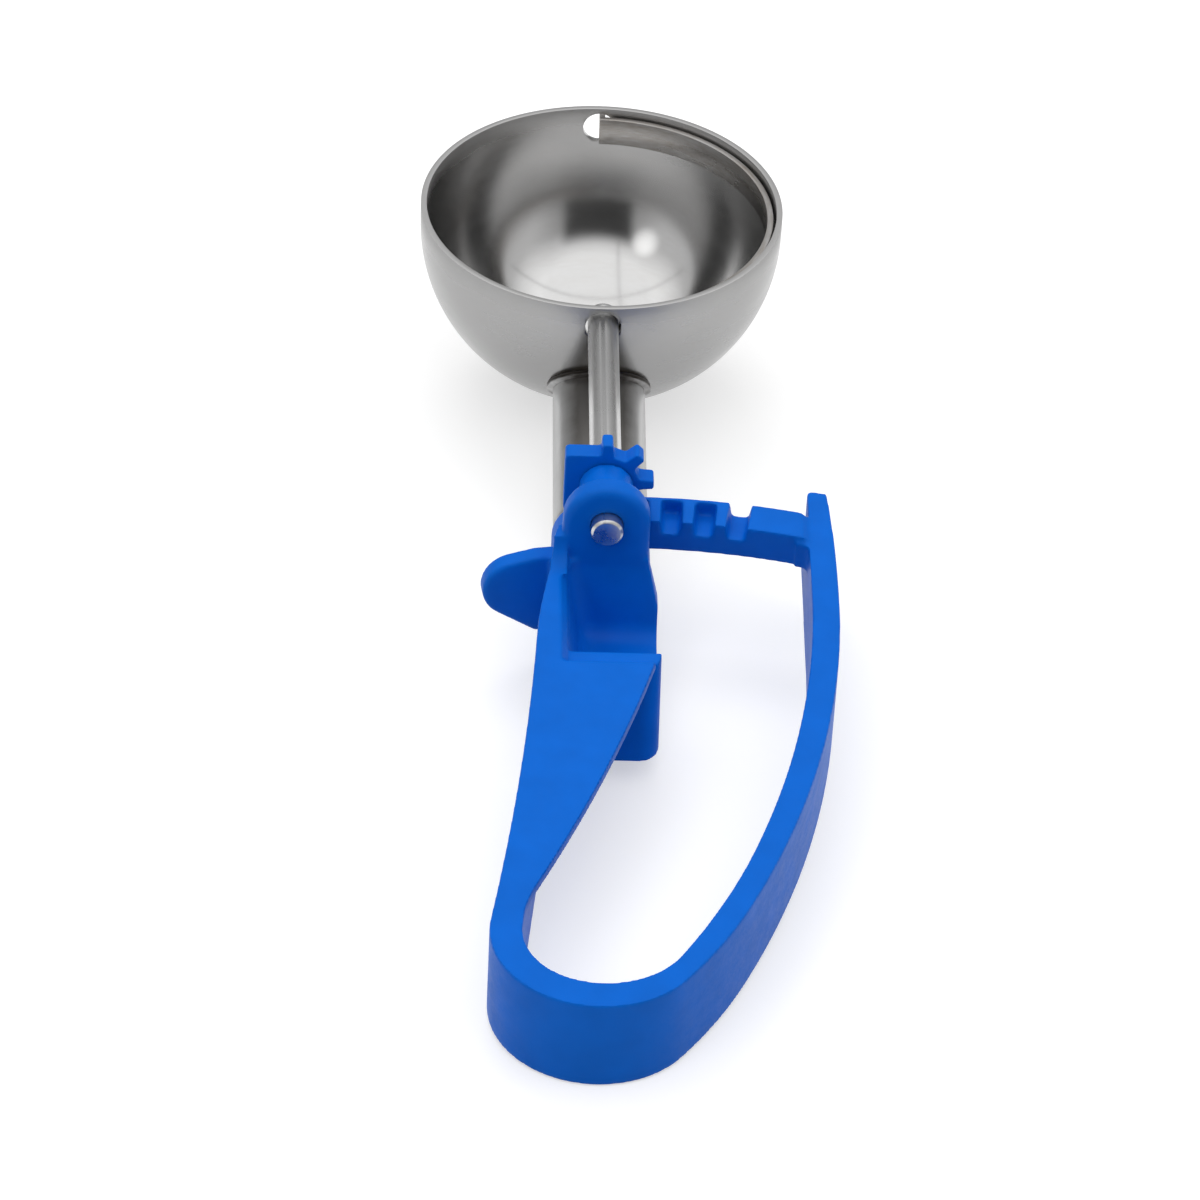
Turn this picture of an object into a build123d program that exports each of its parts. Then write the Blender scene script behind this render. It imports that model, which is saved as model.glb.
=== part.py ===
from build123d import *
import os
from math import atan2, cos, degrees, pi, radians, sin, sqrt

# A lever ice cream scoop, in millimetres.
# The origin is the centre of the round bowl, on the axis of the sweep blade.
# +Y runs from the handle to the far side of the bowl, +X is the lever's side, +Z is up.

# Reach of the regions that only cut or select, and how far a cutter passes a face
REGION = 200.0
OVER = 1.0

# Bowl
BOWL_R = 28.5
BOWL_WALL = 0.9
RIM_HEIGHT = 3.5
RIM_ROUND = 0.35
FAR_HOLE_R = 2.6
NEAR_HOLE_R = 2.75

# Blade shaft
ROD_R = 2.36
ROD_END_Y = -80.4
ROD_TIP_Y = -25.0
ROD_CHAMFER = 0.35
RUN_CLEAR = 0.06

# Sweep blade
BLADE_GAP = 0.5
BLADE_THICK = 0.9
BLADE_WIDTH = 4.6
TAB_WIDTH = 4.1
TAB_OUT = 1.5
SLOT_CLEAR = 0.02
SLOT_DEPTH = 0.6

# Pinion
TEETH_PER_TURN = 8
PITCH = 5.0
TIP_R = 7.05
ROOT_R = 4.85
FACE_WIDTH = 3.0
PINION_Y = -68.3
TIP_HALF = 0.8
FLANK_HALF = 1.05
TOOTH_ROUND = 0.3
TOOTH_SINK = 1.5
TOOTH_ANGLES = [-90, -45, 0, 45, 90]
STOP_REACH = 6.2
STOP_ROUND = 0.6
STOP_CLEAR = 0.05

# Handle levels
ROD_TO_RACK = 5.1
TOP_Z = -6.0
DEPTH = 14.4

# Loop: outer and inner outlines as tangent arcs
OUT_LEG = [(-9.95, -95.0), (-12.5, -128.0), (-16.3, -157.4)]
OUT_ARCS = [(14.75, 151.0), (76.9, 13.0), (164.1, 23.4), (290.0, 5.5)]
LEG_THICK = 4.4
IN_START = (-12.0, -158.8)
IN_ANGLE = -93.2
IN_ARCS = [(10.2, 74.6), (12.3, 76.7), (115.4, 12.0), (171.4, 19.9)]
TIP_Y = -60.8
TIP_X = 30.4
TIP_ROUND = 0.6

# Bending part of the loop, and the point that the lever turns about
HINGE = (5.0, -166.0)
BEND_LEFT_Y = -154.0
BEND_RIGHT_ANGLE = 28.0

# Rack
RACK_AHEAD = 2.7
RACK_BEHIND = 3.3
RACK_HEIGHT = 5.4
RACK_LEFT_X = -6.0
NOTCH_DEPTH = 2.35
NOTCH_TOP = 3.3
NOTCH_FLOOR = 2.5
NOTCH_WEB = 0.7
LEVER_OVERLAP = 1.0
NOTCH_COUNT = 5
NOTCH_ROUND = 0.5
RACK_CORNER = 2.2
RACK_SLOPE = 1.2

# Frame
SOCKET_FRONT_Y = -57.0
SOCKET_HALF_FRONT = 7.4
SOCKET_HALF = 8.0
SOCKET_FLARE = 4.0
PLATE_FLARE = 2.0
SOCKET_END_Y = -107.4
SOCKET_END_ROUND = 3.0
COLLAR_TOP_Z = -11.3
PLATE_THICK = 1.8
SINK = 0.1
HEAD_FRONT_Y = -75.3
HEAD_BACK_Y = -78.5
HEAD_HALF = 6.4
HEAD_ROUND = 1.2
RAMP_R = 4.0
BOSS_R = 4.0
BOSS_CLEAR = 0.3
BOSS_STRAIGHT = 3.0
BOSS_END = (0.7, -1)
POCKET_LEFT_X = -5.5
POCKET_END_Y = -101.2
POCKET_FLOOR_Z = -10.0
POCKET_ROUND = 2.0
POCKET_FILLET = 2.2
POCKET_DRAFT = 6.0
SHOULDER = [(-8.6, -83.8), (-6.9, -75.3)]
SHOULDER_END = (0.3, 1)
DIAGONAL = [(7.4, -100.5), (-0.5, -126.2), (-10.1, -150.4)]
DIAGONAL_FOOT = (-12.2, -157.4)
FOOT_END = (-0.25, -1)

# Finger guard
GUARD_Y = -73.4
GUARD_THICK = 3.0
GUARD_TURN = 9.5
GUARD_REACH = 18.5
GUARD_TOP_Z = -6.5
GUARD_TIP_R = 5.0
GUARD_SLOPE = 0.7
GUARD_LOW_Z = -20.3
GUARD_ROOT = 7.0
GUARD_ROUND = 0.6

# Neck
NECK_HALF = 7.2
NECK_MIDDLE_Z = -17.9
NECK_RISE = 5.6
NECK_BASE = 2.5
NECK_WALL = 1.0
NECK_TILT = 4.6
NECK_INSIDE_Y = -17.0
TANG_INSET = 1.4
TANG_END_Y = -101.0
FLANGE_WIDTH = 0.9
FLANGE_THICK = 0.9
WELD_CLEAR = 0.03

MESH_R = PINION_Y + FACE_WIDTH / 2 - HINGE[1]
BOTTOM_Z = TOP_Z - DEPTH
RACK_TOP_Z = -ROD_TO_RACK - STOP_CLEAR
RACK_FAR_R = MESH_R + RACK_AHEAD
RACK_NEAR_R = MESH_R - RACK_BEHIND
BLADE_R = BOWL_R - BOWL_WALL - BLADE_GAP


def along_y(radius, start, end):
    """A round bar on the shaft's axis."""
    bar = Cylinder(radius, abs(end - start))
    return Pos(0, (start + end) / 2, 0) * Rot(90, 0, 0) * bar


def slab(profile, low, high):
    """A plan outline raised between two levels."""
    return extrude(Pos(0, 0, low) * profile, amount=high - low)


def block(x0, x1, y0, y1, z0, z1):
    """A box given by its limits."""
    box = Box(x1 - x0, y1 - y0, z1 - z0)
    return Pos((x0 + x1) / 2, (y0 + y1) / 2, (z0 + z1) / 2) * box


def chain(start, tangent, arcs):
    """Arcs that follow each other smoothly, each a radius and a turn."""
    curves = []
    for radius, turn in arcs:
        curve = JernArc(start, tangent, radius, turn)
        curves.append(curve)
        start = curve @ 1
        tangent = curve % 1
    return curves


def top_edges(solid):
    return solid.edges().group_by(Axis.Z)[-1]


def bowl():
    shell = Sphere(BOWL_R) - Sphere(BOWL_R - BOWL_WALL)
    shell = shell & block(-BOWL_R, BOWL_R, -BOWL_R, BOWL_R, -BOWL_R, 0)
    band = Cylinder(BOWL_R, RIM_HEIGHT) - Cylinder(BOWL_R - BOWL_WALL, RIM_HEIGHT)
    shell = shell + Pos(0, 0, RIM_HEIGHT / 2) * band
    shell = fillet(top_edges(shell), RIM_ROUND)
    shell = shell - along_y(FAR_HOLE_R, BOWL_R / 2, BOWL_R + OVER)
    return shell - along_y(NEAR_HOLE_R, -BOWL_R - OVER, -BOWL_R / 2)


def sweep_blade():
    strip = Cylinder(BLADE_R, BLADE_WIDTH) - Cylinder(BLADE_R - BLADE_THICK, BLADE_WIDTH)
    strip = strip & block(-SLOT_DEPTH, BLADE_R, -BLADE_R, BLADE_R, -BLADE_WIDTH, BLADE_WIDTH)
    reach = BOWL_R + TAB_OUT
    far_cut = block(-BLADE_WIDTH, 0, 0, reach, -BLADE_WIDTH, BLADE_WIDTH)
    inner = BLADE_R - BLADE_THICK
    tab = block(0, BLADE_THICK, inner, reach, -TAB_WIDTH / 2, TAB_WIDTH / 2)
    tab = fillet(tab.edges().filter_by(Axis.X).group_by(Axis.Y)[-1], TAB_WIDTH / 4)
    return strip - far_cut + tab


def rod():
    bar = along_y(ROD_R, ROD_END_Y, ROD_TIP_Y)
    bar = chamfer(bar.edges().filter_by(GeomType.CIRCLE), ROD_CHAMFER)
    near = -BLADE_R - SLOT_CLEAR
    far = -BLADE_R + BLADE_THICK + SLOT_CLEAR
    bend = BLADE_R - sqrt(BLADE_R ** 2 - ROD_R ** 2)
    slot = block(-SLOT_DEPTH - SLOT_CLEAR, ROD_R, near, far + bend, -ROD_R, ROD_R)
    return bar - slot


def tooth(angle):
    """One tooth that points along +X, turned to its place."""
    base = ROOT_R - TOOTH_SINK
    outline = Polyline(
        (base, -FLANK_HALF),
        (TIP_R, -TIP_HALF),
        (TIP_R, TIP_HALF),
        (base, FLANK_HALF),
        close=True,
    )
    face = make_face(outline)
    face = fillet(face.vertices().group_by(Axis.X)[-1], TOOTH_ROUND)
    return Rot(0, 0, angle) * face


def pinion():
    face = Circle(ROOT_R)
    for angle in TOOTH_ANGLES:
        face = face + tooth(angle)
    side = Pos(-STOP_REACH / 2, 0) * RectangleRounded(STOP_REACH, 2 * ROD_TO_RACK, STOP_ROUND)
    face = face + side + Pos(-STOP_REACH / 4, 0) * Rectangle(STOP_REACH / 2, 2 * ROD_TO_RACK)
    gear = extrude(face, amount=FACE_WIDTH)
    gear = Pos(0, PINION_Y + FACE_WIDTH, 0) * Rot(90, 0, 0) * gear
    return gear - along_y(ROD_R, PINION_Y - OVER, PINION_Y + FACE_WIDTH + OVER)


def loop_face():
    """Plan of the whole loop, from the left leg round the bend to the lever's tip."""
    leg = ThreePointArc(*OUT_LEG)
    outer = chain(leg @ 1, leg % 1, OUT_ARCS)
    in_tangent = (cos(radians(IN_ANGLE)), sin(radians(IN_ANGLE)))
    inner = chain(IN_START, in_tangent, IN_ARCS)
    tip = Line(outer[-1] @ 1, (TIP_X, TIP_Y))
    side = Line((TIP_X, TIP_Y), inner[-1] @ 1)
    top = (OUT_LEG[0][0] + LEG_THICK, OUT_LEG[0][1])
    back = Line(IN_START, top)
    cap = Line(top, OUT_LEG[0])
    face = make_face(Curve() + [leg] + outer + [tip, side] + inner + [back, cap])
    corners = face.vertices().sort_by(Axis.Y)[-2:]
    return fillet(corners, TIP_ROUND)


def bend_side():
    """Region of the plan that the bending part takes."""
    left = Pos(HINGE[0] - REGION / 2, BEND_LEFT_Y - REGION / 2) * Rectangle(REGION, REGION)
    right = Pos(REGION / 2, 0) * Rectangle(REGION, 2 * REGION)
    return left + Pos(*HINGE) * Rot(0, 0, BEND_RIGHT_ANGLE - 90) * right


def rack_angle(x):
    """Turn about the hinge that brings the mesh point to this place across."""
    return degrees(atan2(HINGE[0] - x, MESH_R))


def notch(index, web):
    """A tooth space that leaves a web at its far end, or none."""
    step = degrees(PITCH / MESH_R)
    far = RACK_FAR_R - web if web else RACK_FAR_R + OVER
    length = far - RACK_NEAR_R + 2 * OVER
    outline = Polyline(
        (-NOTCH_TOP / 2, 0),
        (-NOTCH_FLOOR / 2, -NOTCH_DEPTH),
        (NOTCH_FLOOR / 2, -NOTCH_DEPTH),
        (NOTCH_TOP / 2, 0),
        (NOTCH_TOP / 2, OVER),
        (-NOTCH_TOP / 2, OVER),
        close=True,
    )
    face = fillet(make_face(outline).vertices().group_by(Axis.Y)[0], NOTCH_ROUND)
    cut = extrude(face, amount=length)
    cut = Pos(0, far, 0) * Rot(90, 0, 0) * cut
    turn = rack_angle(0) - index * step
    return Pos(HINGE[0], HINGE[1], RACK_TOP_Z) * Rot(0, 0, turn) * cut


def rack():
    """Toothed arc about the hinge, which slopes down where it meets the lever."""
    ring = Circle(RACK_FAR_R) - Circle(RACK_NEAR_R)
    ring = Pos(HINGE[0], HINGE[1]) * ring
    end = TIP_X + LEVER_OVERLAP
    width = end - RACK_LEFT_X
    window = Pos(RACK_LEFT_X + width / 2, HINGE[1] + RACK_FAR_R) * Rectangle(width, RACK_FAR_R)
    bar = slab(ring & window, RACK_TOP_Z - RACK_HEIGHT, RACK_TOP_Z)
    for index in range(NOTCH_COUNT):
        bar = bar - notch(index, NOTCH_WEB if index < NOTCH_COUNT - 1 else 0)
    drop = RACK_TOP_Z - TOP_Z
    outline = Polyline(
        (TIP_X - RACK_SLOPE, RACK_TOP_Z),
        (TIP_X, TOP_Z),
        (end + OVER, TOP_Z),
        (end + OVER, RACK_TOP_Z + drop),
        (TIP_X - RACK_SLOPE, RACK_TOP_Z + drop),
        close=True,
    )
    wedge = extrude(Plane.XZ * make_face(outline), amount=RACK_FAR_R, both=True)
    return bar - wedge


def rack_corner():
    """Fillet between the rack's near side and the lever."""
    middle = HINGE[1] + sqrt(RACK_NEAR_R ** 2 - (TIP_X - HINGE[0]) ** 2)
    left = TIP_X - RACK_CORNER
    low = RACK_TOP_Z - RACK_HEIGHT
    corner = block(left, TIP_X + LEVER_OVERLAP, middle - RACK_CORNER, middle + OVER, low, TOP_Z)
    hollow = slab(Pos(left, middle - RACK_CORNER) * Circle(RACK_CORNER), low, TOP_Z)
    return corner - hollow


def squeeze_lever(loop):
    lever = loop - slab(bend_side(), BOTTOM_Z - OVER, TOP_Z + OVER)
    lever = lever & block(HINGE[0], REGION, -REGION, 0, BOTTOM_Z, TOP_Z)
    return lever + rack() + rack_corner()


def spring_bend(loop):
    return loop & slab(bend_side(), BOTTOM_Z, TOP_Z)


def plate():
    """Flat top of the frame, with its slanted free edge."""
    leg = ThreePointArc(*reversed(OUT_LEG))
    shoulder = Spline([leg @ 1, *SHOULDER], tangents=[leg % 1, SHOULDER_END])
    front = Line(shoulder @ 1, (HEAD_HALF, HEAD_FRONT_Y))
    step = Line(front @ 1, (HEAD_HALF, HEAD_BACK_Y))
    flare = Line(step @ 1, (SOCKET_HALF, HEAD_BACK_Y - PLATE_FLARE))
    side = Line(flare @ 1, DIAGONAL[0])
    slant = ThreePointArc(*DIAGONAL)
    foot = Spline([DIAGONAL[-1], DIAGONAL_FOOT], tangents=[slant % 1, FOOT_END])
    base = Line(foot @ 1, leg @ 0)
    return make_face(Curve() + [leg, shoulder, front, step, flare, side, slant, foot, base])


def socket():
    """Block around the neck's tang, with an arched collar at its mouth."""
    length = SOCKET_FRONT_Y - HEAD_BACK_Y
    top = EllipticalCenterArc((0, 0), SOCKET_HALF_FRONT, COLLAR_TOP_Z - NECK_MIDDLE_Z, 0, arc_size=180)
    low = Polyline(
        (-SOCKET_HALF_FRONT, 0),
        (-SOCKET_HALF_FRONT, BOTTOM_Z - NECK_MIDDLE_Z),
        (SOCKET_HALF_FRONT, BOTTOM_Z - NECK_MIDDLE_Z),
        (SOCKET_HALF_FRONT, 0),
    )
    collar = extrude(make_face(Curve() + [top, low]), amount=length)
    collar = Pos(0, SOCKET_FRONT_Y, NECK_MIDDLE_Z) * Rot(90, 0, 0) * collar
    outline = Polyline(
        (-HEAD_HALF, HEAD_FRONT_Y),
        (-SOCKET_HALF, HEAD_BACK_Y),
        (-SOCKET_HALF, SOCKET_END_Y),
        (SOCKET_HALF, SOCKET_END_Y),
        (SOCKET_HALF, HEAD_BACK_Y - SOCKET_FLARE),
        (HEAD_HALF, HEAD_BACK_Y),
        (HEAD_HALF, HEAD_FRONT_Y),
        close=True,
    )
    face = make_face(outline)
    face = fillet(face.vertices().group_by(Axis.Y)[0], SOCKET_END_ROUND)
    return collar + slab(face, BOTTOM_Z, TOP_Z - SINK)


def head():
    """Upright wall and nose that carry the shaft."""
    length = HEAD_FRONT_Y - HEAD_BACK_Y
    arch = along_y(HEAD_HALF, HEAD_BACK_Y, HEAD_FRONT_Y)
    wall = block(-HEAD_HALF, HEAD_HALF, HEAD_BACK_Y, HEAD_FRONT_Y, COLLAR_TOP_Z - OVER, 0)
    wall = arch + wall
    rim = wall.faces().sort_by(Axis.Y)[0].edges().sort_by(Axis.Z)[1:]
    wall = fillet(rim, HEAD_ROUND)
    nose_y = PINION_Y - BOSS_CLEAR
    neck_y = nose_y - BOSS_STRAIGHT
    profile = Curve() + [
        Line((0, nose_y), (BOSS_R, nose_y)),
        Line((BOSS_R, nose_y), (BOSS_R, neck_y)),
        Spline([(BOSS_R, neck_y), (HEAD_HALF, HEAD_FRONT_Y)], tangents=[(0, -1), BOSS_END]),
        Line((HEAD_HALF, HEAD_FRONT_Y), (HEAD_HALF, HEAD_FRONT_Y - length / 2)),
        Line((HEAD_HALF, HEAD_FRONT_Y - length / 2), (0, HEAD_FRONT_Y - length / 2)),
        Line((0, HEAD_FRONT_Y - length / 2), (0, nose_y)),
    ]
    nose = revolve(make_face(profile), Axis.Y)
    return wall + nose


def guard():
    """Finger guard beside the rack, with a rounded tip."""
    tip = Pos(-GUARD_REACH + GUARD_TIP_R, GUARD_TOP_Z - GUARD_SLOPE - GUARD_TIP_R)
    tip = tip * Circle(GUARD_TIP_R)
    height = GUARD_TOP_Z - GUARD_LOW_Z
    root = Pos(-GUARD_ROOT, GUARD_TOP_Z - height / 2) * Rectangle(GUARD_ROOT, height)
    wing = extrude(make_hull(tip.edges() + root.edges()), amount=GUARD_THICK)
    edges = wing.edges().filter_by(Axis.Z, reverse=True)
    edges = edges.sort_by(Axis.X)[:-2]
    wing = fillet(edges, GUARD_ROUND)
    return Pos(0, GUARD_Y, 0) * Rot(0, 0, GUARD_TURN) * Rot(90, 0, 0) * wing


def ramp():
    """Hollow slope from the flat top up the head's left flank."""
    foot = HEAD_BACK_Y - RAMP_R
    rise = block(-SOCKET_HALF, POCKET_LEFT_X, foot, HEAD_FRONT_Y, TOP_Z - OVER, TOP_Z + RAMP_R)
    hollow = Cylinder(RAMP_R, 4 * SOCKET_HALF)
    hollow = Pos(0, foot, TOP_Z + RAMP_R) * Rot(0, 90, 0) * hollow
    return (rise - hollow) & slab(plate(), BOTTOM_Z, TOP_Z + RAMP_R)


def pocket():
    """Drafted hollow in front of the head, open to the lever's side."""
    width = 4 * SOCKET_HALF
    length = HEAD_BACK_Y - POCKET_END_Y
    height = TOP_Z - POCKET_FLOOR_Z
    inset = height * sin(radians(POCKET_DRAFT))
    face = RectangleRounded(width, length - 2 * inset, POCKET_ROUND)
    face = Pos(POCKET_LEFT_X + inset + width / 2, (HEAD_BACK_Y + POCKET_END_Y) / 2) * face
    cut = extrude(face, amount=2 * height, taper=-POCKET_DRAFT)
    cut = fillet(cut.edges().group_by(Axis.Z)[0], POCKET_FILLET)
    side = block(HEAD_HALF, width, HEAD_BACK_Y - POCKET_ROUND, HEAD_FRONT_Y + OVER, 0, 2 * height)
    return Pos(0, 0, POCKET_FLOOR_Z) * (cut + side)


def neck_bar(inset, start, end, tilt):
    """A bar of the neck's arched section, tilted about the socket's mouth."""
    half = NECK_HALF - inset
    arch = EllipticalCenterArc((0, 0), half, NECK_RISE - inset, 0, arc_size=180)
    base = EllipticalCenterArc((0, 0), half, NECK_BASE - inset, 180, arc_size=180)
    bar = extrude(make_face(Curve() + [arch, base]), amount=abs(end - start))
    bar = Pos(0, max(start, end) - SOCKET_FRONT_Y, 0) * Rot(90, 0, 0) * bar
    return Pos(0, SOCKET_FRONT_Y, NECK_MIDDLE_Z) * Rot(tilt, 0, 0) * bar


def tang():
    """The narrower end of the neck, inside the handle."""
    return neck_bar(TANG_INSET, SOCKET_FRONT_Y + NECK_WALL, TANG_END_Y, 0)


def neck():
    shoulder_y = SOCKET_FRONT_Y + NECK_WALL
    start = SOCKET_FRONT_Y - 2 * NECK_WALL
    zone = block(-BOWL_R, BOWL_R, shoulder_y, NECK_INSIDE_Y, -2 * BOWL_R, 0)
    tube = neck_bar(0, start, 0, NECK_TILT) & zone
    flange = neck_bar(-FLANGE_WIDTH, start, 0, NECK_TILT) & zone
    flange = flange & Sphere(BOWL_R + FLANGE_THICK)
    bore = neck_bar(NECK_WALL, start, 0, NECK_TILT) & zone
    tube = tube + flange - bore - Sphere(BOWL_R + WELD_CLEAR)
    shoulder = neck_bar(0, SOCKET_FRONT_Y, shoulder_y, 0)
    inside = neck_bar(TANG_INSET + NECK_WALL, shoulder_y + OVER, TANG_END_Y - OVER, 0)
    return tube + (shoulder + tang() - inside)


def frame(loop):
    left = OUT_LEG[-1][0] - OVER
    leg = loop & block(left, 0, BEND_LEFT_Y, OUT_LEG[0][1] + OVER, BOTTOM_Z, TOP_Z)
    top = slab(plate(), TOP_Z - PLATE_THICK, TOP_Z)
    edge = block(left, POCKET_LEFT_X, SOCKET_END_Y, HEAD_FRONT_Y, BOTTOM_Z, TOP_Z)
    edge = edge & slab(plate(), BOTTOM_Z, TOP_Z)
    body = socket() + leg + top + edge - pocket()
    body = body + head() + ramp() + guard()
    body = body - along_y(ROD_R + RUN_CLEAR, HEAD_BACK_Y - OVER, PINION_Y)
    return body - tang()


def save(name, shape):
    os.makedirs("parts", exist_ok=True)
    shape.label = name
    export_step(shape, "parts/" + name + ".step")


loop = slab(loop_face(), BOTTOM_Z, TOP_Z)
save("bowl", bowl())
save("neck", neck())
save("sweep_blade", sweep_blade())
save("rod", rod())
save("pinion", pinion())
save("handle_frame", frame(loop))
save("spring_bend", spring_bend(loop))
save("squeeze_lever", squeeze_lever(loop))
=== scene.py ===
from math import atan2, radians

import bpy
from mathutils import Matrix, Vector


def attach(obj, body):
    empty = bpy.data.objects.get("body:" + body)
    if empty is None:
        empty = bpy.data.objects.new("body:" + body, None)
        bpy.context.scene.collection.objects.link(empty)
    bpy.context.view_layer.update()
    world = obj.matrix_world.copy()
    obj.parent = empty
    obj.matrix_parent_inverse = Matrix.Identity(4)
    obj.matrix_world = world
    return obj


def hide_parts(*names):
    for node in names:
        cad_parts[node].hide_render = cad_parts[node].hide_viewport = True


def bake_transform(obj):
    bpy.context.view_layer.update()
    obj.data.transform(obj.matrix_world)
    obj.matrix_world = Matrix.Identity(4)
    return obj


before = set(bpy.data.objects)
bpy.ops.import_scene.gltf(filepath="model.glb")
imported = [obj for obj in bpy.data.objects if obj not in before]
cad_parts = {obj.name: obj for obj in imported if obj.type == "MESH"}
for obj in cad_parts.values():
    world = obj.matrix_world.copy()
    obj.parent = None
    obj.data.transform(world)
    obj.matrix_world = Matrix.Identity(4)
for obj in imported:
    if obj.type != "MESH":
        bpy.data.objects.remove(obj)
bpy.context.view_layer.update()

bl_info = {
    "name": "Lever ice cream scoop",
    "version": (1, 0, 0),
    "blender": (4, 5, 0),
    "location": "View3D > Sidebar > Scoop",
    "description": "Builds the dressed pieces of a squeeze-lever ice cream scoop",
    "category": "Object",
}

MM = 0.001
UP = Vector((0, 0, 1))
DOWN = Vector((0, 0, -1))
ALONG = (0, 1, 0)

# All places are in metres. x runs to the lever's side, y to the bowl, z up from the shaft's axis.

# Bowl: facets round it and from pole to pole, length of the drills, rounding of the rim in metal edges
BOWL_SEGMENTS = 256
BOWL_RINGS = 128
DRILL_SEGMENTS = 96
DRILL_LENGTH = 8 * MM
RIM_EDGES = 1.6
TINY = 0.01 * MM

# Where the neck's tang ends, inside the head's wall
TANG_END_Y = -77.0 * MM

# Rounds of smoothing for the handle and the pinion, and the pinion's cells against the handle's
HANDLE_PASSES = 7
PINION_PASSES = 9
PINION_CELL = 0.7

# Where the lever's leg is cut off for moulding the bend and the frame together
LEG_CUT_Y = -120.0 * MM

# Flat plate and the block under it
PLATE_TOP_Z = -6.0 * MM
PLATE_LOW_Z = -7.8 * MM
BLOCK_LOW_Z = -20.4 * MM
OVERLAP = 0.1 * MM

# Wall behind the neck's tang: two corners, its rise over them and its width up there
FOOT_LOW = (-8.1 * MM, -100.4 * MM, -20.39 * MM)
FOOT_HIGH = (8.1 * MM, -76.2 * MM, -14.0 * MM)
FOOT_RISE = 7.8 * MM
FOOT_TAPER = (0.78, 1, 1)

# Pocket: its sides, shift and scale of its floor by the draft, and the reach of the cutter over it
POCKET_LEFT_X = -5.5 * MM
POCKET_RIGHT_X = 20 * MM
POCKET_END_Y = -101.2 * MM
HEAD_BACK_Y = -78.5 * MM
POCKET_SHIFT = (1.6 * MM, -0.8 * MM, 0)
POCKET_DRAFT = (0.955, 0.88, 1)
POCKET_REACH = 12 * MM

# Flare of the pocket's lip: height, depth below it, distance from the head and widening
LIP_HEIGHT = 1.4 * MM
LIP_DEPTH = 1 * MM
LIP_FROM_HEAD = 2.5 * MM
LIP_FLARE = (1.08, 1.1, 1)

# Square end of the block, which is cut off
SQUARE_LOW = (-8.6 * MM, -112 * MM, BLOCK_LOW_Z - 1 * MM)
SQUARE_HIGH = (9 * MM, -99.5 * MM, PLATE_LOW_Z)

# Slanted end in its place: two corners, the reach of its foot and the rounding of its upright edge
SLANT_LOW = (-9 * MM, -101.4 * MM, BLOCK_LOW_Z)
SLANT_HIGH = (8 * MM, -98 * MM, PLATE_LOW_Z + OVERLAP)
SLANT_FOOT_Y = -107.4 * MM
SLANT_ROUND = 2.8 * MM

# Trim of the plate's free edge past the pocket: its tool, a point on the edge, its turn and its start
TRIM_LOW = (0, -12 * MM, PLATE_LOW_Z - OVERLAP)
TRIM_HIGH = (6 * MM, 12 * MM, -5 * MM)
TRIM_PLACE = (6.45 * MM, -103.95 * MM, 0)
TRIM_TURN = -15.4
TRIM_START_Y = -100.9 * MM

# Floor: side, gap under the bowl, the handle's heel that it also carries, and its own light
FLOOR_SIDE = 6
FLOOR_GAP = 0.2 * MM
HEEL = Vector((0, -0.1738, -0.0204))
FLOOR_LIFT = 0.52

# Studio by a part of the direction: from, to, level at the first, level at the second
SKY_PALE = (0.0, 0.45, 0.12, 0.5)
SKY_BRIGHT = (0.60, 0.82, 0.0, 0.85)
SIDE_LIGHT = (0.50, 0.72, 0.0, 0.25)
WINDOW_NEAR = (-0.42, -0.30, 1.0, 0.0)
WINDOW_WIDE = (0.34, 0.44, 1.0, 0.0)
WINDOW_SILL = (0.22, 0.32, 0.0, 1.0)
WINDOW_HEAD = (0.64, 0.74, 1.0, 0.0)
WINDOW_DARK = 0.88
BAR_X = -0.235
BAR_Y = -0.07
BAR_HALF = 0.010
BAR_FADE = (0.5, 0.6, 0.0, 0.5)
GLOW_TOWARD = Vector((-0.53, -0.57, 0.63))
GLOW_FADE = (0.984, 0.999, 0.0, 1.0)

# Name, place, width, height and power of each soft lamp, and the point that they all look at
LAMPS = (
    ("back_lamp", (-0.15, 0.75, 0.85), 0.6, 0.3, 2.6),
    ("left_lamp", (-0.55, -0.60, 0.66), 0.3, 0.3, 0.6),
    ("right_lamp", (0.9, -0.2, 0.5), 0.3, 0.4, 0.5),
)
LAMP_TARGET = Vector((0, -0.07, 0))

# Camera: its axes, its place, the width of its sensor and its lens in millimetres
CAMERA_RIGHT = Vector((0.99911434, -0.01074297, 0.04068333))
CAMERA_AHEAD = Vector((0.033703, 0.78318093, -0.62087981))
CAMERA_UP = Vector((-0.02519231, 0.62170107, 0.78284936))
CAMERA_PLACE = Vector((-0.02570225, -0.66523028, 0.45144321))
CAMERA_SENSOR = 36.0
CAMERA_LENS = 152.3624


# ---------------------------------------------------------------- settings


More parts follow.
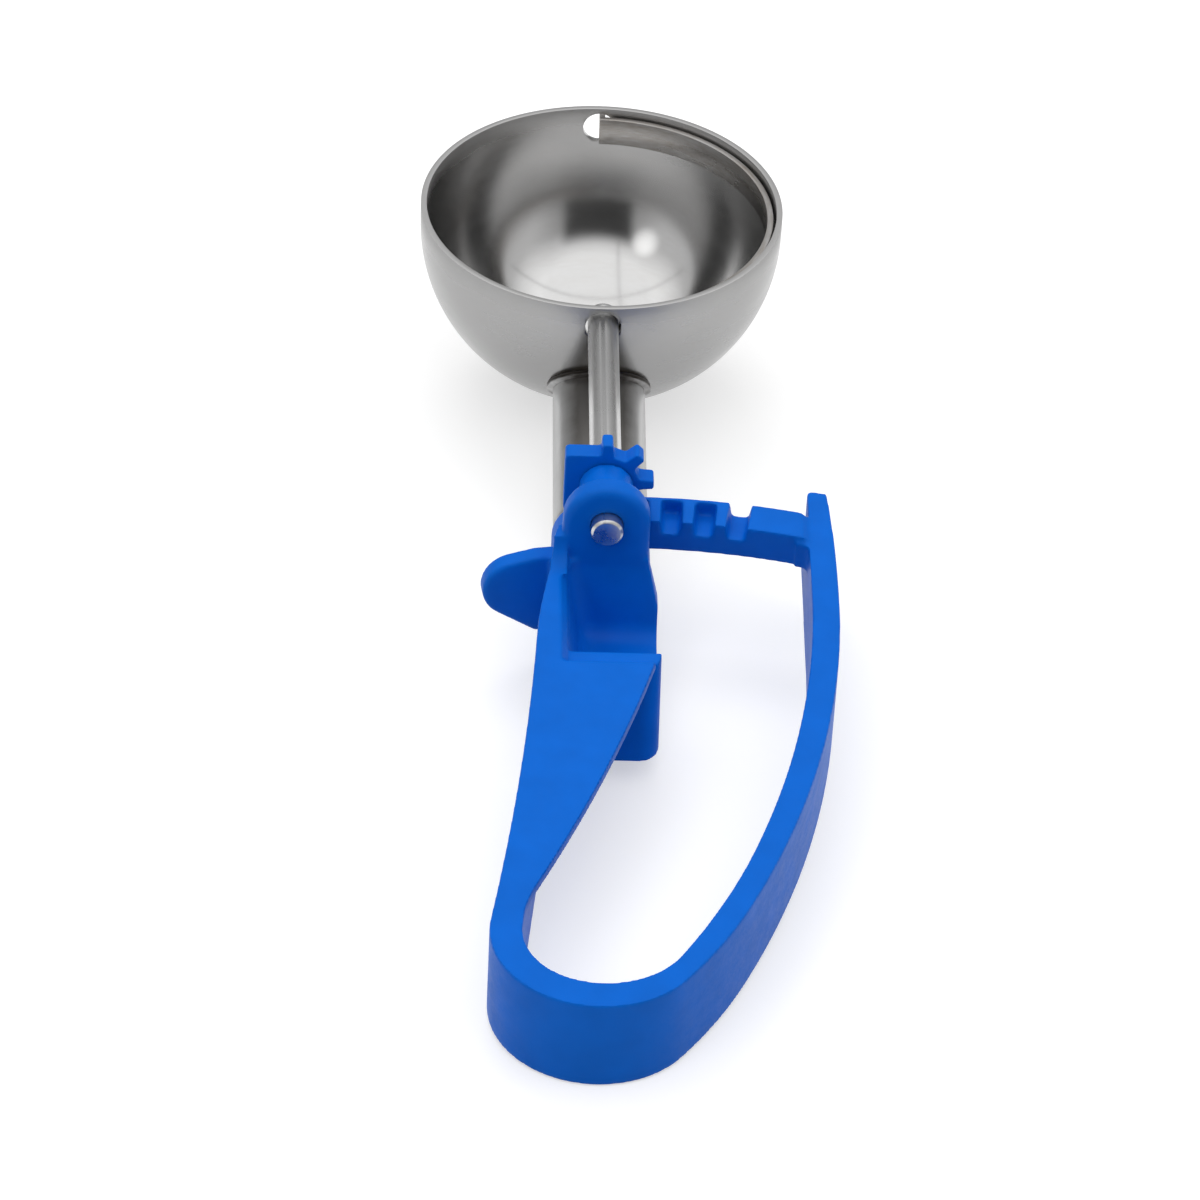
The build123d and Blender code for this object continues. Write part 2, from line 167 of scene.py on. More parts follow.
class ScoopSizes(bpy.types.PropertyGroup):
    """Sizes of the dressed pieces."""

    bowl_radius: bpy.props.FloatProperty(
        name="Bowl radius", description="Outer radius of the round bowl",
        default=0.0285, subtype="DISTANCE", unit="LENGTH")
    bowl_wall: bpy.props.FloatProperty(
        name="Bowl wall", description="Thickness of the bowl's sheet",
        default=0.0009, subtype="DISTANCE", unit="LENGTH")
    rim_height: bpy.props.FloatProperty(
        name="Rim height", description="Height of the rim over the shaft's axis",
        default=0.0035, subtype="DISTANCE", unit="LENGTH")
    far_hole: bpy.props.FloatProperty(
        name="Far hole", description="Radius of the hole for the blade's tab",
        default=0.0026, subtype="DISTANCE", unit="LENGTH")
    near_hole: bpy.props.FloatProperty(
        name="Near hole", description="Radius of the hole for the shaft",
        default=0.00275, subtype="DISTANCE", unit="LENGTH")
    pocket_floor: bpy.props.FloatProperty(
        name="Pocket floor", description="Height of the floor of the pocket behind the head",
        default=-0.0188, subtype="DISTANCE", unit="LENGTH")
    floor_round: bpy.props.FloatProperty(
        name="Pocket rounding", description="Rounding of the pocket's floor and corners",
        default=0.0026, subtype="DISTANCE", unit="LENGTH")
    mould_grain: bpy.props.FloatProperty(
        name="Mould grain", description="Cell size of the moulded surfaces",
        default=0.00035, subtype="DISTANCE", unit="LENGTH")
    split_y: bpy.props.FloatProperty(
        name="Bend start", description="Where the bending part of the loop starts",
        default=-0.154, subtype="DISTANCE", unit="LENGTH")
    bend_from: bpy.props.FloatProperty(
        name="Bend from", description="Left end of the stretch that bends",
        default=-0.011, subtype="DISTANCE", unit="LENGTH")
    bend_to: bpy.props.FloatProperty(
        name="Bend to", description="Right end of the stretch that bends",
        default=0.0125, subtype="DISTANCE", unit="LENGTH")
    metal_edge: bpy.props.FloatProperty(
        name="Metal edge", description="Rounding of the steel edges",
        default=0.00012, subtype="DISTANCE", unit="LENGTH")


class ScoopColours(bpy.types.PropertyGroup):
    """Colours and finishes."""

    plastic: bpy.props.FloatVectorProperty(
        name="Plastic", description="Colour of the moulded handle",
        default=(0.0, 0.125, 0.60, 1.0), size=4, subtype="COLOR", min=0, max=1)
    steel: bpy.props.FloatVectorProperty(
        name="Steel", description="Colour of the stainless steel",
        default=(0.55, 0.55, 0.55, 1.0), size=4, subtype="COLOR", min=0, max=1)
    floor: bpy.props.FloatVectorProperty(
        name="Floor", description="Colour of the floor",
        default=(0.6, 0.6, 0.6, 1.0), size=4, subtype="COLOR", min=0, max=1)


def sizes():
    return bpy.context.scene.scoop_sizes


def colours():
    return bpy.context.scene.scoop_colours


# ---------------------------------------------------------------- mesh tools


def deselect_all():
    if bpy.context.object and bpy.context.object.mode != "OBJECT":
        bpy.ops.object.mode_set(mode="OBJECT")
    bpy.ops.object.select_all(action="DESELECT")


def only(obj):
    deselect_all()
    obj.select_set(True)
    bpy.context.view_layer.objects.active = obj
    return obj


def apply_modifier(obj, kind, **values):
    """Adds one modifier, sets it and applies it."""
    only(obj)
    modifier = obj.modifiers.new(kind.lower(), kind)
    for key, value in values.items():
        setattr(modifier, key, value)
    bpy.ops.object.modifier_apply(modifier=modifier.name)
    return obj


def place_in_mesh(obj):
    """Leaves the object at the origin, unturned and unscaled."""
    only(obj)
    bpy.ops.object.transform_apply(location=True, rotation=True, scale=True)
    return obj


def copy_of(name, *nodes):
    """One closed mesh from the solids of these nodes, with their corners merged."""
    deselect_all()
    copies = []
    for node in nodes:
        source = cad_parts[node]
        mesh = source.data.copy()
        mesh.transform(source.matrix_world)
        twin = bpy.data.objects.new(name, mesh)
        bpy.context.scene.collection.objects.link(twin)
        copies.append(twin)
    for twin in copies:
        twin.select_set(True)
    bpy.context.view_layer.objects.active = copies[0]
    if len(copies) > 1:
        bpy.ops.object.join()
    obj = only(bpy.context.view_layer.objects.active)
    obj.name = name
    bpy.ops.object.mode_set(mode="EDIT")
    bpy.ops.mesh.select_all(action="SELECT")
    bpy.ops.mesh.remove_doubles(threshold=0.000002)
    bpy.ops.object.mode_set(mode="OBJECT")
    bpy.ops.mesh.customdata_custom_splitnormals_clear()
    obj.data.materials.clear()
    return obj


def mould(obj, cell, passes):
    """Turns sharp corners into the soft ones of a moulding."""
    only(obj)
    obj.data.remesh_voxel_size = cell
    obj.data.remesh_voxel_adaptivity = 0.0
    bpy.ops.object.voxel_remesh()
    apply_modifier(obj, "SMOOTH", factor=0.5, iterations=passes)
    only(obj)
    bpy.ops.object.shade_smooth()
    return obj


def soft_steel(obj, width, angle=35):
    """Small round edges on a steel piece."""
    apply_modifier(obj, "BEVEL", width=width, segments=2, limit_method="ANGLE",
                   angle_limit=radians(angle))
    only(obj)
    bpy.ops.object.shade_smooth_by_angle(angle=radians(30))
    return obj


def cut(obj, y, keep_outer):
    """Cuts the object across y, keeps the side to the bowl or the other, and closes the cut."""
    only(obj)
    bpy.ops.object.mode_set(mode="EDIT")
    bpy.ops.mesh.select_all(action="SELECT")
    bpy.ops.mesh.bisect(plane_co=(0, y, 0), plane_no=ALONG, use_fill=True,
                        clear_inner=keep_outer, clear_outer=not keep_outer)
    bpy.ops.object.mode_set(mode="OBJECT")
    return obj


def part_past(obj, y, place):
    """Of the parts that lie past a cut across y, keeps the one at this place from left to right."""
    cut(obj, y, keep_outer=True)
    bpy.ops.object.mode_set(mode="EDIT")
    bpy.ops.mesh.select_all(action="SELECT")
    bpy.ops.mesh.separate(type="LOOSE")
    bpy.ops.object.mode_set(mode="OBJECT")
    parts = sorted(bpy.context.selected_objects,
                   key=lambda part: min(vertex.co.x for vertex in part.data.vertices))
    kept = parts.pop(place)
    for part in parts:
        bpy.data.objects.remove(part)
    return kept


def join(obj, other):
    """One object from two, their meshes side by side."""
    only(obj)
    other.select_set(True)
    bpy.ops.object.join()
    return obj


def brick(low, high):
    """A closed box between two corners, for joining or cutting."""
    deselect_all()
    low, high = Vector(low), Vector(high)
    bpy.ops.mesh.primitive_cube_add(size=1, location=(low + high) / 2)
    box = bpy.context.object
    box.scale = high - low
    return place_in_mesh(box)


def move_face(obj, side, shift=(0, 0, 0), scale=(1, 1, 1), extrude=False):
    """Extrudes, moves and scales the faces of a box that look to one side."""
    only(obj)
    bpy.ops.object.mode_set(mode="EDIT")
    bpy.ops.mesh.select_mode(type="FACE")
    bpy.ops.mesh.select_all(action="DESELECT")
    bpy.ops.object.mode_set(mode="OBJECT")
    reach = max(face.center.dot(side) for face in obj.data.polygons)
    for face in obj.data.polygons:
        face.select = abs(face.center.dot(side) - reach) < TINY
    bpy.ops.object.mode_set(mode="EDIT")
    if extrude:
        bpy.ops.mesh.extrude_region_move(TRANSFORM_OT_translate={"value": shift})
    else:
        bpy.ops.transform.translate(value=shift)
    bpy.ops.transform.resize(value=scale)
    bpy.ops.object.mode_set(mode="OBJECT")
    return obj


def combine(obj, tool, operation):
    """Joins a closed tool to the object, or cuts the object with it."""
    apply_modifier(obj, "BOOLEAN", operation=operation, object=tool, solver="EXACT")
    bpy.data.objects.remove(tool)
    return obj


def twin_of(obj, name):
    twin = obj.copy()
    twin.data = obj.data.copy()
    twin.name = name
    bpy.context.scene.collection.objects.link(twin)
    return twin


# ---------------------------------------------------------------- materials


class Nodes:
    """Short names for building the nodes of one material or world."""

    def __init__(self, owner):
        owner.use_nodes = True
        self.owner = owner
        self.tree = owner.node_tree
        self.shader = self.tree.nodes.get("Principled BSDF")

    def add(self, kind, **values):
        node = self.tree.nodes.new(kind)
        for key, value in values.items():
            setattr(node, key, value)
        return node

    def join(self, source, target):
        self.tree.links.new(source, target)

    def math(self, operation, *values):
        node = self.add("ShaderNodeMath", operation=operation)
        for socket, value in zip(node.inputs, values):
            if isinstance(value, (int, float)):
                socket.default_value = value
            else:
                self.join(value, socket)
        return node.outputs[0]

    def where(self):
        return self.add("ShaderNodeTexCoord").outputs["Object"]

    def parts(self, vector):
        """The three numbers of a vector."""
        node = self.add("ShaderNodeSeparateXYZ")
        self.join(vector, node.inputs[0])
        return node.outputs

    def noise(self, vector, scale, detail=3.0):
        node = self.add("ShaderNodeTexNoise")
        node.inputs["Scale"].default_value = scale
        node.inputs["Detail"].default_value = detail
        self.join(vector, node.inputs["Vector"])
        return node.outputs["Fac"]

    def stretch(self, vector, scale):
        node = self.add("ShaderNodeMapping")
        node.inputs["Scale"].default_value = scale
        self.join(vector, node.inputs["Vector"])
        return node.outputs["Vector"]

    def span(self, value, low, high, to_low=0.0, to_high=1.0):
        node = self.add("ShaderNodeMapRange", clamp=True)
        self.join(value, node.inputs["Value"])
        for key, number in (("From Min", low), ("From Max", high),
                            ("To Min", to_low), ("To Max", to_high)):
            node.inputs[key].default_value = number
        return node.outputs["Result"]

    def bump(self, height, strength, distance):
        node = self.add("ShaderNodeBump")
        node.inputs["Strength"].default_value = strength
        node.inputs["Distance"].default_value = distance
        self.join(height, node.inputs["Height"])
        self.join(node.outputs["Normal"], self.shader.inputs["Normal"])

    def blend(self, fac, low, high):
        """Number between two others, each a plain number or a socket."""
        node = self.add("ShaderNodeMix", data_type="FLOAT")
        self.join(fac, node.inputs["Factor"])
        for key, value in (("A", low), ("B", high)):
            if isinstance(value, float):
                node.inputs[key].default_value = value
            else:
                self.join(value, node.inputs[key])
        return node.outputs["Result"]

    def between(self, fac, dark, light):
        """Colour between two others, each a plain colour or a socket."""
        node = self.add("ShaderNodeMix", data_type="RGBA")
        ends = [socket for socket in node.inputs if socket.type == "RGBA"]
        for socket, colour in zip(ends, (dark, light)):
            if isinstance(colour, tuple):
                socket.default_value = colour
            else:
                self.join(colour, socket)
        self.join(fac, node.inputs["Factor"])
        return [socket for socket in node.outputs if socket.type == "RGBA"][0]

    def tint(self, fac, dark, light):
        """Gives the shader a colour between two others."""
        self.join(self.between(fac, dark, light), self.shader.inputs["Base Color"])


def shade(colour, factor):
    return (colour[0] * factor, colour[1] * factor, colour[2] * factor, 1.0)


def warm(colour, factor, warmth):
    """A shade of the colour that leans to brown."""
    return (colour[0] * factor, colour[1] * factor * (1 - warmth / 2),
            colour[2] * factor * (1 - warmth), 1.0)


def metal(name):
    """A new metal, and its point in the object."""
    n = Nodes(bpy.data.materials.new(name))
    n.shader.inputs["Metallic"].default_value = 1.0
    return n, n.where()


def turned_steel(name, polished, level, contrast):
    """Steel with fine rings round the bowl's upright axis, and a polished floor if asked."""
    n, where = metal(name)
    x, y, z = n.parts(where)
    out = n.math("SQRT", n.math("ADD", n.math("MULTIPLY", x, x), n.math("MULTIPLY", y, y)))
    ring = n.add("ShaderNodeCombineXYZ")
    n.join(n.math("MULTIPLY", n.math("ARCTAN2", y, x), 0.004), ring.inputs[0])
    n.join(out, ring.inputs[1])
    n.join(z, ring.inputs[2])
    fine = n.noise(ring.outputs[0], scale=3200.0, detail=2.0)
    wide = n.noise(ring.outputs[0], scale=420.0)
    cloud = n.noise(where, scale=90.0)
    base = colours().steel
    n.tint(n.span(n.math("ADD", fine, wide), low=0.6, high=1.4),
           warm(base, level * (1 - contrast), contrast), shade(base, level * (1 + contrast)))
    rough = n.span(n.math("ADD", wide, cloud), low=0.7, high=1.3, to_low=0.20, to_high=0.30)
    if polished:
        rough = n.math("ADD", rough, 0.05)
        mirror = n.span(cloud, low=0.3, high=0.7, to_low=0.10, to_high=0.15)
        up_wall = n.span(z, low=-0.020, high=-0.004, to_high=0.7)
        rough = n.blend(up_wall, mirror, rough)
    at_rim = n.span(z, low=0.0, high=0.003, to_high=0.2)
    n.join(n.math("ADD", rough, at_rim), n.shader.inputs["Roughness"])
    n.bump(fine, strength=0.04, distance=0.00001)
    return n.owner


def drawn_steel(name, level, rough_low, rough_high):
    """Steel with fine lines along the shaft."""
    n, where = metal(name)
    along = n.stretch(where, (1.0, 0.03, 1.0))
    fine = n.noise(along, scale=2600.0)
    wide = n.noise(along, scale=500.0)
    cloud = n.noise(where, scale=120.0)
    base = colours().steel
    n.tint(n.span(n.math("ADD", fine, wide), low=0.6, high=1.4),
           shade(base, level * 0.95), shade(base, level * 1.05))
    rough = n.span(n.math("ADD", wide, cloud), low=0.7, high=1.3, to_low=rough_low,
                   to_high=rough_high)
    n.join(rough, n.shader.inputs["Roughness"])
    n.bump(fine, strength=0.04, distance=0.00001)
    return n.owner


def neck_steel_with_painted_shade(name):
    """Drawn steel with painted shade: a darker, browner middle stands in for the rod's shadow and
    reflection, and a near-black painted shadow lies in the seam where it meets the bowl.
    """
    n = Nodes(drawn_steel(name, 0.84, 0.28, 0.4))
    base = colours().steel
    where = n.where()
    across = n.math("ABSOLUTE", n.parts(where)[0])
    from_bowl = n.add("ShaderNodeVectorMath", operation="LENGTH")
    n.join(where, from_bowl.inputs[0])
    cloud = n.math("MULTIPLY", n.noise(where, scale=260.0), 0.0016)
    # Painted shade and painted reflection of the rod: the middle of the neck is darker and browner
    # than its sides.
    side = n.span(n.math("ADD", across, cloud), low=0.0044, high=0.0068)
    # Painted shadow in the seam: the end against the bowl turns near black and brown.
    painted_seam_shadow_fade = n.span(n.math("ADD", from_bowl.outputs["Value"], cloud), low=0.0298, high=0.0304)
    colour = n.shader.inputs["Base Color"].links[0].from_socket
    colour = n.between(side, warm(base, 0.36, 0.08), colour)
    n.tint(painted_seam_shadow_fade, warm(base, 0.08, 0.3), colour)
    return n.owner


def moulded_plastic(name):
    """Blue plastic with a faint spark-eroded grain and small scuffs."""
    n = Nodes(bpy.data.materials.new(name))
    where = n.where()
    grain = n.noise(where, scale=2200.0)
    wave = n.noise(where, scale=160.0, detail=2.0)
    scuff = n.noise(n.stretch(where, (1.0, 0.25, 1.0)), scale=700.0, detail=4.0)
    base = colours().plastic
    n.tint(n.span(wave, low=0.3, high=0.7), shade(base, 0.95), shade(base, 1.05))
    rough = n.span(n.math("ADD", grain, scuff), low=0.7, high=1.3, to_low=0.38, to_high=0.50)
    n.join(rough, n.shader.inputs["Roughness"])
    n.shader.inputs["IOR"].default_value = 1.49
    n.shader.inputs["Specular IOR Level"].default_value = 0.1
    n.bump(n.math("ADD", grain, n.math("MULTIPLY", wave, 0.6)), strength=0.10, distance=0.00005)
    return n.owner


def material(name, make, *values):
    found = bpy.data.materials.get(name)
    return found if found else make(name, *values)


def finish_piece(obj, name, look):
    obj.name = name
    obj.data.name = name
    obj.data.materials.clear()
    obj.data.materials.append(look)
    return obj


# ---------------------------------------------------------------- operators


class SCOOP_OT_bowl(bpy.types.Operator):
    """Spun steel bowl with a rolled rim and two shaft holes"""

    bl_idname = "scoop.bowl"
    bl_label = "Bowl"

    def execute(self, context):
        s = sizes()
        deselect_all()
        bpy.ops.mesh.primitive_uv_sphere_add(segments=BOWL_SEGMENTS, ring_count=BOWL_RINGS,
                                             radius=s.bowl_radius)
        bowl = context.object
        only(bowl)
        bpy.ops.object.mode_set(mode="EDIT")
        bpy.ops.mesh.select_all(action="SELECT")
        bpy.ops.mesh.bisect(plane_co=(0, 0, TINY), plane_no=UP, clear_outer=True)
        bpy.ops.mesh.select_all(action="DESELECT")
        bpy.ops.mesh.select_mode(type="EDGE")
        bpy.ops.mesh.select_non_manifold()
        bpy.ops.mesh.extrude_region_move(
            TRANSFORM_OT_translate={"value": (0, 0, s.rim_height / 2)})
        bpy.ops.mesh.extrude_region_move(
            TRANSFORM_OT_translate={"value": (0, 0, s.rim_height / 2 - TINY)})
        bpy.ops.mesh.select_all(action="SELECT")
        bpy.ops.mesh.remove_doubles(threshold=0.000001)
        bpy.ops.mesh.normals_make_consistent(inside=False)
        bpy.ops.object.mode_set(mode="OBJECT")
        apply_modifier(bowl, "SOLIDIFY", thickness=s.bowl_wall, offset=-1.0)
        for radius, side in ((s.far_hole, 1), (s.near_hole, -1)):
            deselect_all()
            bpy.ops.mesh.primitive_cylinder_add(
                vertices=DRILL_SEGMENTS, radius=radius, depth=DRILL_LENGTH,
                location=(0, side * s.bowl_radius, 0), rotation=(radians(90), 0, 0))
            combine(bowl, context.object, "DIFFERENCE")
        soft_steel(bowl, s.metal_edge * RIM_EDGES)
        place_in_mesh(bowl)
        inner = material("polished_bowl_steel", turned_steel, True, 1.0, 0.02)
        # The outside's steel is set darker, 0.64 of the inside's level. This is painted shade that
        # tones down its reflection of the glowing floor.
        outer = material("satin_bowl_steel_painted_shade", turned_steel, False, 0.64, 0.02)
        finish_piece(bowl, "dressed_bowl", inner)
        bowl.data.materials.append(outer)
        limit = s.bowl_radius - s.bowl_wall * 0.5
        for face in bowl.data.polygons:
            c = face.center
            reach = c.length if c.z < 0 else Vector((c.x, c.y)).length
            face.material_index = 1 if reach > limit else 0
        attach(bowl, "scoop")
        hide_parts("bowl")
        return {"FINISHED"}


class SCOOP_OT_neck(bpy.types.Operator):
    """Arched steel neck between the bowl and the handle"""

    bl_idname = "scoop.neck"
    bl_label = "Neck"

    def execute(self, context):
        neck = copy_of("dressed_neck", "neck")
        cut(neck, TANG_END_Y, keep_outer=True)
        soft_steel(neck, sizes().metal_edge)
        look = material("neck_steel_painted_shade", neck_steel_with_painted_shade)
        finish_piece(neck, "dressed_neck", look)
        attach(neck, "scoop")
        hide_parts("neck")
        return {"FINISHED"}


class SCOOP_OT_blade(bpy.types.Operator):
    """Thin steel strip that sweeps the bowl"""

    bl_idname = "scoop.blade"
    bl_label = "Sweep blade"

    def execute(self, context):
        blade = copy_of("dressed_blade", "sweep_blade")
        soft_steel(blade, sizes().metal_edge)
        look = material("satin_strip_steel", turned_steel, False, 0.82, 0.2)
        finish_piece(blade, "dressed_blade", look)
        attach(blade, "blade")
        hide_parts("sweep_blade")
        return {"FINISHED"}


class SCOOP_OT_rod(bpy.types.Operator):
    """Steel shaft that turns the blade"""

    bl_idname = "scoop.rod"
    bl_label = "Shaft"

    def execute(self, context):
        rod = copy_of("dressed_rod", "rod")
        soft_steel(rod, sizes().metal_edge)
        look = material("shaft_steel", drawn_steel, 1.08, 0.24, 0.34)
        finish_piece(rod, "dressed_rod", look)
        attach(rod, "blade")
        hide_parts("rod")
        return {"FINISHED"}


class SCOOP_OT_pinion(bpy.types.Operator):
    """Moulded half gear with its stop block"""

    bl_idname = "scoop.pinion"
    bl_label = "Pinion"

    def execute(self, context):
        gear = copy_of("dressed_pinion", "pinion")
        mould(gear, sizes().mould_grain * PINION_CELL, PINION_PASSES)
        look = material("moulded_blue", moulded_plastic)
        finish_piece(gear, "dressed_pinion", look)
        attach(gear, "blade")
        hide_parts("pinion")
        return {"FINISHED"}


class SCOOP_OT_handle(bpy.types.Operator):
    """One moulding: frame, bending loop and toothed lever"""

    bl_idname = "scoop.handle"
    bl_label = "Handle"

    def execute(self, context):
        s = sizes()
        whole = copy_of("handle", "handle_frame")
        self.core(whole)
        self.pocket(whole)
        self.slant(whole)
        leg = copy_of("leg", "spring_bend", "squeeze_lever")
        cut(leg, LEG_CUT_Y, keep_outer=False)
        whole = mould(join(whole, leg), s.mould_grain, HANDLE_PASSES)
        # The lever is moulded by itself, which keeps its rack clear of the socket under it
        lever = copy_of("lever", "spring_bend", "squeeze_lever")
        mould(lever, s.mould_grain, HANDLE_PASSES)
        bend = twin_of(whole, "dressed_bend")
        cut(bend, s.split_y, keep_outer=False)
        frame_piece = part_past(whole, s.split_y, 0)
        lever_piece = part_past(lever, s.split_y, -1)
        blue = material("moulded_blue", moulded_plastic)
        for obj, name in ((frame_piece, "dressed_frame"), (bend, "dressed_bend"),
                          (lever_piece, "dressed_lever")):
            only(obj)
            bpy.ops.object.shade_smooth_by_angle(angle=radians(40))
            finish_piece(obj, name, blue)
        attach(frame_piece, "scoop")
        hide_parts("handle_frame")
        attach(lever_piece, "lever")
        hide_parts("squeeze_lever")
        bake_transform(bend)
        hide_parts("spring_bend")
        return {"FINISHED"}

    def core(self, whole):
        """Solid wall behind the neck's tang, wider at its foot than the head above it."""
        foot = brick(FOOT_LOW, FOOT_HIGH)
        move_face(foot, UP, (0, 0, FOOT_RISE), FOOT_TAPER, extrude=True)
        combine(whole, foot, "UNION")

    def pocket(self, whole):
        """Deep drafted pocket behind the head, open to the lever's side."""
        s = sizes()
        lip_z = PLATE_TOP_Z - LIP_HEIGHT
        hollow = brick((POCKET_LEFT_X, POCKET_END_Y, s.pocket_floor),
                       (POCKET_RIGHT_X, HEAD_BACK_Y, lip_z))
        move_face(hollow, DOWN, POCKET_SHIFT, POCKET_DRAFT)
        move_face(hollow, UP, (0, 0, POCKET_REACH), extrude=True)
        apply_modifier(hollow, "BEVEL", width=s.floor_round, segments=6, limit_method="ANGLE",
                       angle_limit=radians(30))
        flare = brick((POCKET_LEFT_X, POCKET_END_Y, lip_z - LIP_DEPTH),
                      (POCKET_RIGHT_X, HEAD_BACK_Y - LIP_FROM_HEAD, lip_z))
        move_face(flare, UP, (0, 0, LIP_HEIGHT), LIP_FLARE, extrude=True)
        combine(whole, hollow, "DIFFERENCE")
        combine(whole, flare, "DIFFERENCE")

    def slant(self, whole):
        """Slanted end of the block under the flat plate, and the plate's free edge over it."""
        combine(whole, brick(SQUARE_LOW, SQUARE_HIGH), "DIFFERENCE")
        end = brick(SLANT_LOW, SLANT_HIGH)
        near_y = SLANT_LOW[1] + OVERLAP
        for vertex in end.data.vertices:
            if vertex.co.y < near_y and vertex.co.z < SLANT_LOW[2] + OVERLAP:
                vertex.co.y = SLANT_FOOT_Y
        only(end)
        bpy.ops.object.mode_set(mode="EDIT")
        bpy.ops.mesh.select_mode(type="EDGE")
        bpy.ops.mesh.select_all(action="DESELECT")
        bpy.ops.object.mode_set(mode="OBJECT")
        for edge in end.data.edges:
            a, b = (end.data.vertices[i].co for i in edge.vertices)
            edge.select = min(a.x, b.x) > SLANT_HIGH[0] - OVERLAP and max(a.y, b.y) < near_y
        bpy.ops.object.mode_set(mode="EDIT")
        bpy.ops.mesh.bevel(offset=SLANT_ROUND, segments=6)
        bpy.ops.object.mode_set(mode="OBJECT")
        combine(whole, end, "UNION")
        trim = brick(TRIM_LOW, TRIM_HIGH)
        trim.rotation_euler = (0, 0, radians(TRIM_TURN))
        trim.location = TRIM_PLACE
        place_in_mesh(trim)
        cut(trim, TRIM_START_Y, keep_outer=False)
        combine(whole, trim, "DIFFERENCE")


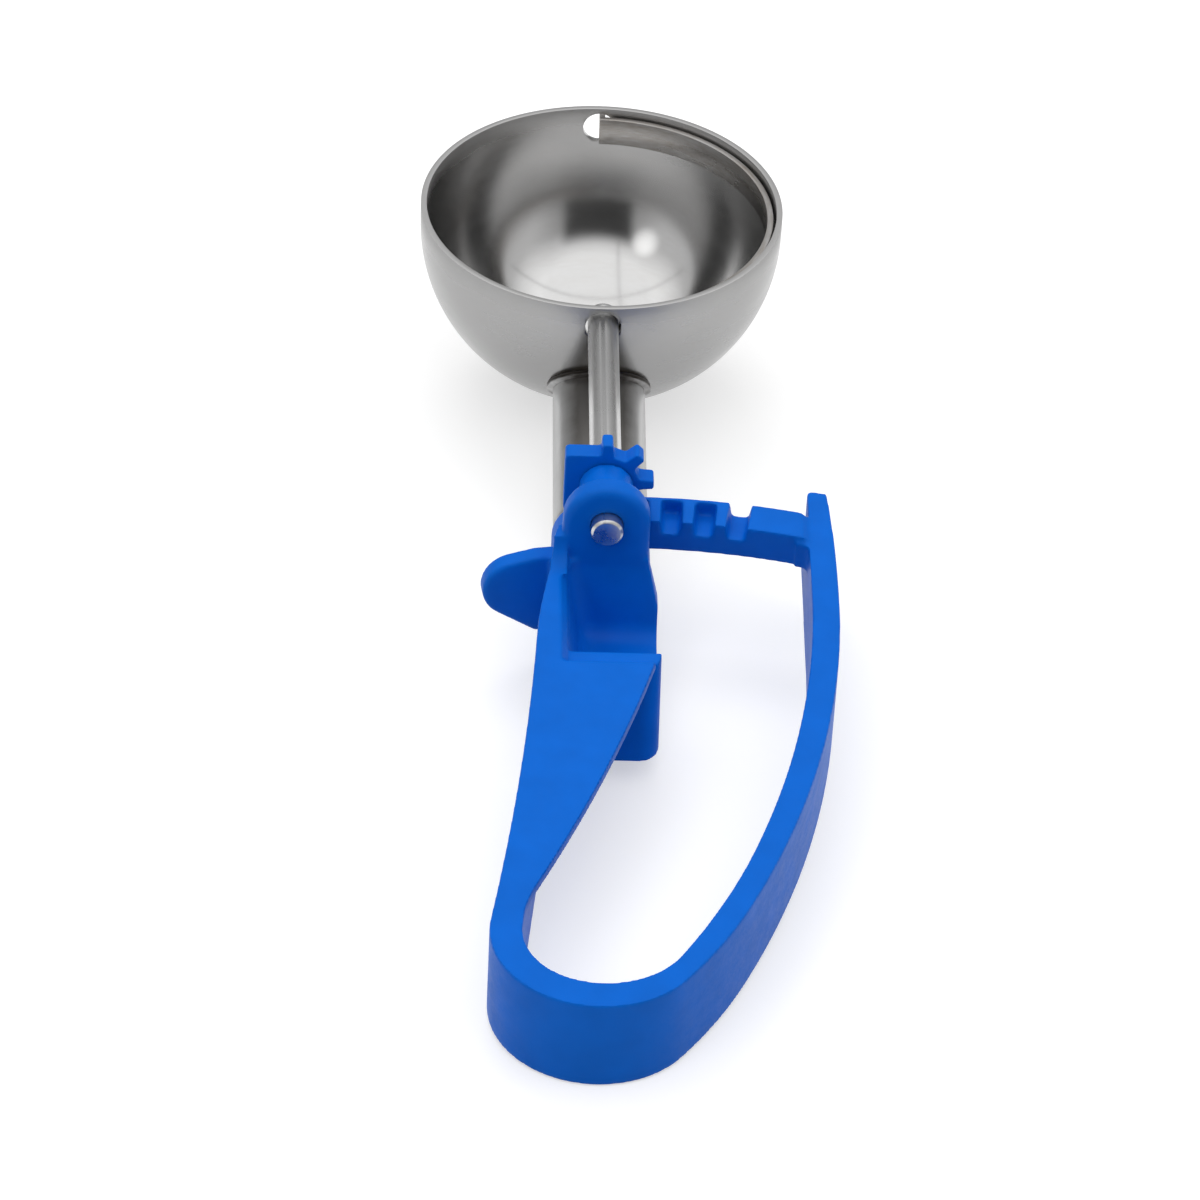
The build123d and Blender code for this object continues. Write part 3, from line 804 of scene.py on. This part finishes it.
class SCOOP_OT_stage(bpy.types.Operator):
    """Pale floor, soft lamps and the camera"""

    bl_idname = "scoop.stage"
    bl_label = "Stage"

    def execute(self, context):
        self.floor()
        self.world(context.scene)
        self.lamps()
        self.camera(context.scene)
        context.scene.view_settings.view_transform = "Standard"
        return {"FINISHED"}

    def floor(self):
        """One plane that carries both the bowl and the handle's heel."""
        deselect_all()
        drop = sizes().bowl_radius
        slope = atan2(drop + HEEL.z, -HEEL.y)
        bpy.ops.mesh.primitive_plane_add(size=FLOOR_SIDE, location=(0, 0, -drop - FLOOR_GAP),
                                         rotation=(-slope, 0, 0))
        floor = bpy.context.object
        floor.name = "floor"
        place_in_mesh(floor)
        n = Nodes(bpy.data.materials.new("pale_floor"))
        n.shader.inputs["Base Color"].default_value = colours().floor
        n.shader.inputs["Roughness"].default_value = 0.9
        path = n.add("ShaderNodeLightPath")
        seen = n.math("MAXIMUM", path.outputs["Is Camera Ray"], path.outputs["Is Glossy Ray"])
        n.join(n.math("MULTIPLY", seen, FLOOR_LIFT), n.shader.inputs["Emission Strength"])
        n.shader.inputs["Emission Color"].default_value = (1, 1, 1, 1)
        floor.data.materials.append(n.owner)

    def world(self, scene):
        """White to the camera; to the rest a bright ceiling, pale sides and a dark viewer's side."""
        scene.world = bpy.data.worlds.new("studio")
        n = Nodes(scene.world)
        toward = n.add("ShaderNodeTexCoord").outputs["Generated"]
        x, y, z = n.parts(toward)
        wide = n.math("ABSOLUTE", x)
        sky = n.math("ADD", n.span(z, *SKY_PALE), n.span(z, *SKY_BRIGHT))
        open_sky = n.math("ADD", sky, n.span(wide, *SIDE_LIGHT))
        window = n.math("MULTIPLY", n.span(y, *WINDOW_NEAR), n.span(wide, *WINDOW_WIDE))
        height = n.math("MULTIPLY", n.span(z, *WINDOW_SILL), n.span(z, *WINDOW_HEAD))
        window = n.math("MULTIPLY", window, height)
        bars = n.math("MAXIMUM", n.math("COMPARE", x, BAR_X, BAR_HALF),
                      n.math("COMPARE", y, BAR_Y, BAR_HALF))
        bars = n.math("MULTIPLY", bars, n.span(z, *BAR_FADE))
        near_glow = n.add("ShaderNodeVectorMath", operation="DOT_PRODUCT")
        n.join(toward, near_glow.inputs[0])
        near_glow.inputs[1].default_value = GLOW_TOWARD.normalized()
        glow = n.span(near_glow.outputs["Value"], *GLOW_FADE)
        dark = n.math("MAXIMUM", n.math("MULTIPLY", window, WINDOW_DARK), bars)
        level = n.math("MULTIPLY", open_sky, n.math("SUBTRACT", 1.0, dark))
        level = n.math("ADD", level, glow)
        to_camera = n.add("ShaderNodeLightPath").outputs["Is Camera Ray"]
        background = n.tree.nodes["Background"]
        n.join(n.blend(to_camera, level, 1.0), background.inputs["Strength"])
        background.inputs["Color"].default_value = (1, 1, 1, 1)

    def lamps(self):
        """Soft lamps that light the scoop and don't show in its steel."""
        for name, place, width, height, power in LAMPS:
            lamp = bpy.data.lights.new(name, "AREA")
            lamp.shape = "RECTANGLE"
            lamp.size = width
            lamp.size_y = height
            lamp.energy = power
            obj = bpy.data.objects.new(name, lamp)
            bpy.context.scene.collection.objects.link(obj)
            obj.location = place
            obj.visible_glossy = False
            aim = LAMP_TARGET - Vector(place)
            obj.rotation_euler = aim.to_track_quat("-Z", "Y").to_euler()

    def camera(self, scene):
        turn = Matrix((CAMERA_RIGHT, CAMERA_UP, -CAMERA_AHEAD)).transposed().to_4x4()
        data = bpy.data.cameras.new("camera")
        data.sensor_width = CAMERA_SENSOR
        data.sensor_fit = "HORIZONTAL"
        data.lens = CAMERA_LENS
        data.clip_start = 0.01
        camera = bpy.data.objects.new("camera", data)
        scene.collection.objects.link(camera)
        camera.matrix_world = Matrix.Translation(CAMERA_PLACE) @ turn
        scene.camera = camera


class SCOOP_PT_panel(bpy.types.Panel):
    """Lists the pieces of the scoop"""

    bl_label = "Ice cream scoop"
    bl_idname = "SCOOP_PT_panel"
    bl_space_type = "VIEW_3D"
    bl_region_type = "UI"
    bl_category = "Scoop"

    def draw(self, context):
        for step in STEPS:
            self.layout.operator(step.bl_idname)
        for group in (context.scene.scoop_sizes, context.scene.scoop_colours):
            for key in group.bl_rna.properties.keys():
                if key not in ("rna_type", "name"):
                    self.layout.prop(group, key)


STEPS = (
    SCOOP_OT_bowl,
    SCOOP_OT_neck,
    SCOOP_OT_blade,
    SCOOP_OT_rod,
    SCOOP_OT_pinion,
    SCOOP_OT_handle,
    SCOOP_OT_stage,
)
CLASSES = (ScoopSizes, ScoopColours) + STEPS + (SCOOP_PT_panel,)


def register():
    for item in CLASSES:
        bpy.utils.register_class(item)
    bpy.types.Scene.scoop_sizes = bpy.props.PointerProperty(type=ScoopSizes)
    bpy.types.Scene.scoop_colours = bpy.props.PointerProperty(type=ScoopColours)


def unregister():
    del bpy.types.Scene.scoop_sizes
    del bpy.types.Scene.scoop_colours
    for item in reversed(CLASSES):
        bpy.utils.unregister_class(item)


def main():
    register()
    for step in STEPS:
        group, name = step.bl_idname.split(".")
        getattr(getattr(bpy.ops, group), name)()


if __name__ == "__main__":
    main()
